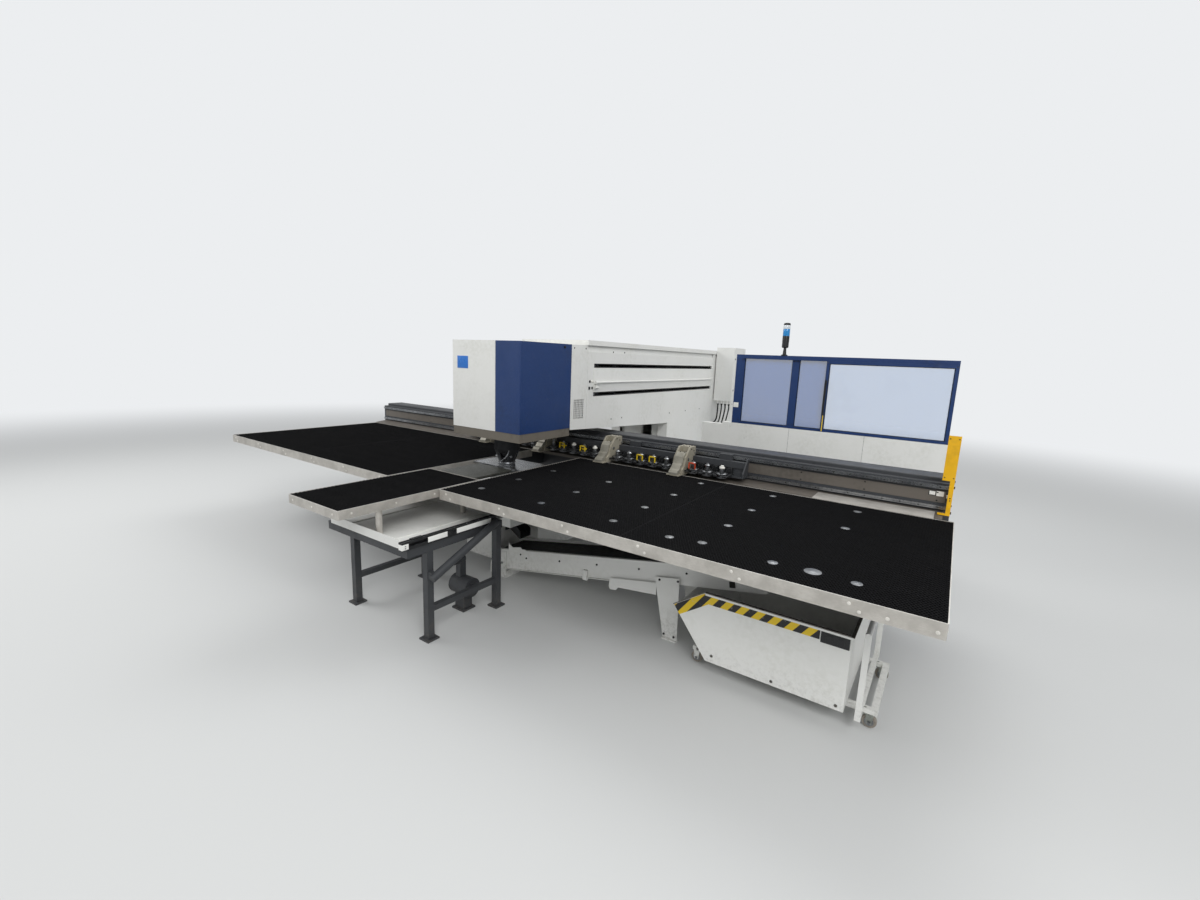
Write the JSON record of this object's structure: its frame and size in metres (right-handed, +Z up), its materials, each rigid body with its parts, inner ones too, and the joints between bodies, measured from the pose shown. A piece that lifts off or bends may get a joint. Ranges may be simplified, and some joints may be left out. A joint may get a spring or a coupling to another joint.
{
  "type": "cnc punching machine",
  "caption": "C-frame sheet metal punching machine with a moving cross beam, brush tables, a linear tool magazine with sheet clamps, a scrap conveyor with a wheeled bin, and a rear guard",
  "frame": {"origin": "on the floor, under the levelling foot straight below the punching axis", "axes": "+X to the operator's right along the cross beam, +Y from the operator to the back of the C-frame, +Z up"},
  "size_m": [6.91, 6.493, 2.404],
  "materials": {
    "white_paint": "satin powder coat, light grey-white",
    "blue_paint": "semi-gloss dark blue coat",
    "brown_paint": "satin warm grey-brown coat",
    "beam_paint": "satin dark warm grey coat",
    "dark_paint": "satin dark grey coat, dusty on its upper faces",
    "black_paint": "satin black coat",
    "machined_steel": "turned and milled steel",
    "ground_steel": "ground steel",
    "black_steel": "blackened steel",
    "trim_steel": "brushed grey trim with small scratches",
    "black_brush": "dense black bristles in rows",
    "black_rubber": "matte belt",
    "blue_glass": "blue tinted clear sheet",
    "clear_glass": "clear sheet with a slight blue tint",
    "black_plastic": "moulded black plastic",
    "yellow_paint": "yellow coat",
    "zinc_steel": "zinc plated steel",
    "grey_tyre": "hard dark wheel tread"
  },
  "bodies": {
    "machine": {"c_frame": "white_paint", "levelling_feet": "machined_steel", "head_block": "machined_steel", "arm_cover_right": "white_paint", "arm_cover_left": "white_paint", "arm_top_cover": "white_paint", "head_cover_white": "white_paint", "head_cover_blue": "blue_paint", "head_apron": "brown_paint", "rear_cover": "white_paint", "rear_box": "white_paint", "die_pedestal": "machined_steel", "die_table": "ground_steel", "y_rails": "ground_steel", "y_drive": "dark_paint", "middle_table_frame": "trim_steel", "middle_brush_top": "black_brush", "console_frame": "dark_paint", "discharge_tray": "white_paint", "slide_rail": "black_paint", "scrap_chute": "black_paint", "conveyor_frame": "white_paint", "conveyor_legs": "white_paint", "conveyor_belt": "black_rubber", "guard_frame": "blue_paint", "guard_skirt": "white_paint", "guard_panes": "blue_glass", "signal_beacon": "black_plastic"},
    "y_screw": {"y_screw": "ground_steel"},
    "chute_flap": {"chute_flap": "brown_paint"},
    "ram": {"ram": "ground_steel"},
    "punch": {"punch_holder": "ground_steel"},
    "stripper": {"stripper": "black_steel"},
    "die": {"die_holder": "ground_steel"},
    "y_carriage": {"cross_beam": "dark_paint", "beam_covers": "beam_paint", "x_guide_rails": "ground_steel", "table_supports": "dark_paint", "table_frames": "trim_steel", "brush_tops": "black_brush", "ball_units": "machined_steel", "end_post": "yellow_paint"},
    "x_carriage": {"cross_rail": "dark_paint", "tool_cassettes": "black_steel", "tools": "machined_steel", "clamp_bodies": "brown_paint"},
    "jaws": {"clamp_jaws": "ground_steel"},
    "drive_drum": {"drive_drum": "machined_steel"},
    "tail_drum": {"tail_drum": "machined_steel"},
    "guard_door": {"guard_door_frame": "blue_paint", "guard_door_pane": "clear_glass", "door_handle": "black_plastic"},
    "bin": {"bin_body": "white_paint", "bin_frame": "white_paint"},
    "fork_front": {"caster_fork_front": "zinc_steel"},
    "fork_back": {"caster_fork_back": "zinc_steel"},
    "wheel_front": {"swivel_wheel_front": "grey_tyre"},
    "wheel_back": {"swivel_wheel_back": "grey_tyre"},
    "fixed_front": {"fixed_wheel_front": "grey_tyre"},
    "fixed_back": {"fixed_wheel_back": "grey_tyre"}
  },
  "joints": [
    {"name": "y_axis", "type": "slide", "parent": "machine", "child": "y_carriage", "axis": [0, 1, 0], "range_m": [-0.6, 0.92]},
    {"name": "x_axis", "type": "slide", "parent": "y_carriage", "child": "x_carriage", "axis": [1, 0, 0], "range_m": [-1.8, 1.25]},
    {"name": "clamp_hinge", "type": "hinge", "parent": "x_carriage", "child": "jaws", "pos_m": [0, 0.8, 1.08], "axis": [1, 0, 0], "range_deg": [-12, 0]},
    {"name": "ram_slide", "type": "slide", "parent": "machine", "child": "ram", "axis": [0, 0, 1], "range_m": [-0.04, 0]},
    {"name": "punch_rotate", "type": "hinge", "parent": "ram", "child": "punch", "pos_m": [0, 0, 1.1], "axis": [0, 0, 1], "continuous": true},
    {"name": "die_rotate", "type": "hinge", "parent": "machine", "child": "die", "pos_m": [0, 0, 0.9], "axis": [0, 0, 1], "continuous": true},
    {"name": "stripper_slide", "type": "slide", "parent": "machine", "child": "stripper", "axis": [0, 0, 1], "range_m": [-0.006, 0]},
    {"name": "y_screw_turn", "type": "hinge", "parent": "machine", "child": "y_screw", "pos_m": [0, 1.2, 0.663], "axis": [0, 1, 0], "range_deg": [-5401, 8281]},
    {"name": "chute_hinge", "type": "hinge", "parent": "machine", "child": "chute_flap", "pos_m": [0, -0.152, 0.915], "axis": [1, 0, 0], "range_deg": [0, 24]},
    {"name": "guard_door_slide", "type": "slide", "parent": "machine", "child": "guard_door", "axis": [1, 0, 0], "range_m": [-0.8, 0]},
    {"name": "drive_drum_turn", "type": "hinge", "parent": "machine", "child": "drive_drum", "pos_m": [2.4872, -0.11, 0.59018], "axis": [0, 1, 0], "continuous": true},
    {"name": "tail_drum_turn", "type": "hinge", "parent": "machine", "child": "tail_drum", "pos_m": [0.16794, -0.11, 0.16452], "axis": [0, 1, 0], "continuous": true},
    {"name": "bin_roll", "type": "slide", "parent": "machine", "child": "bin", "axis": [1, 0, 0], "range_m": [0, 1.2]},
    {"name": "swivel_front", "type": "hinge", "parent": "bin", "child": "fork_front", "pos_m": [3.181, -0.445, 0.08], "axis": [0, 0, 1], "continuous": true},
    {"name": "swivel_back", "type": "hinge", "parent": "bin", "child": "fork_back", "pos_m": [3.181, 0.105, 0.08], "axis": [0, 0, 1], "continuous": true},
    {"name": "wheel_turn_front", "type": "hinge", "parent": "fork_front", "child": "wheel_front", "pos_m": [3.209, -0.445, 0.038], "axis": [0, 1, 0], "continuous": true},
    {"name": "wheel_turn_back", "type": "hinge", "parent": "fork_back", "child": "wheel_back", "pos_m": [3.209, 0.105, 0.038], "axis": [0, 1, 0], "continuous": true},
    {"name": "fixed_turn_front", "type": "hinge", "parent": "bin", "child": "fixed_front", "pos_m": [2.187, -0.445, 0.038], "axis": [0, 1, 0], "continuous": true},
    {"name": "fixed_turn_back", "type": "hinge", "parent": "bin", "child": "fixed_back", "pos_m": [2.187, 0.105, 0.038], "axis": [0, 1, 0], "continuous": true}
  ],
  "couplings": [
    {"joint": "y_screw_turn", "follows": "y_axis", "rad_per_m": 157.08},
    {"joint": "die_rotate", "follows": "punch_rotate", "ratio": 1},
    {"joint": "tail_drum_turn", "follows": "drive_drum_turn", "ratio": 1}
  ]
}
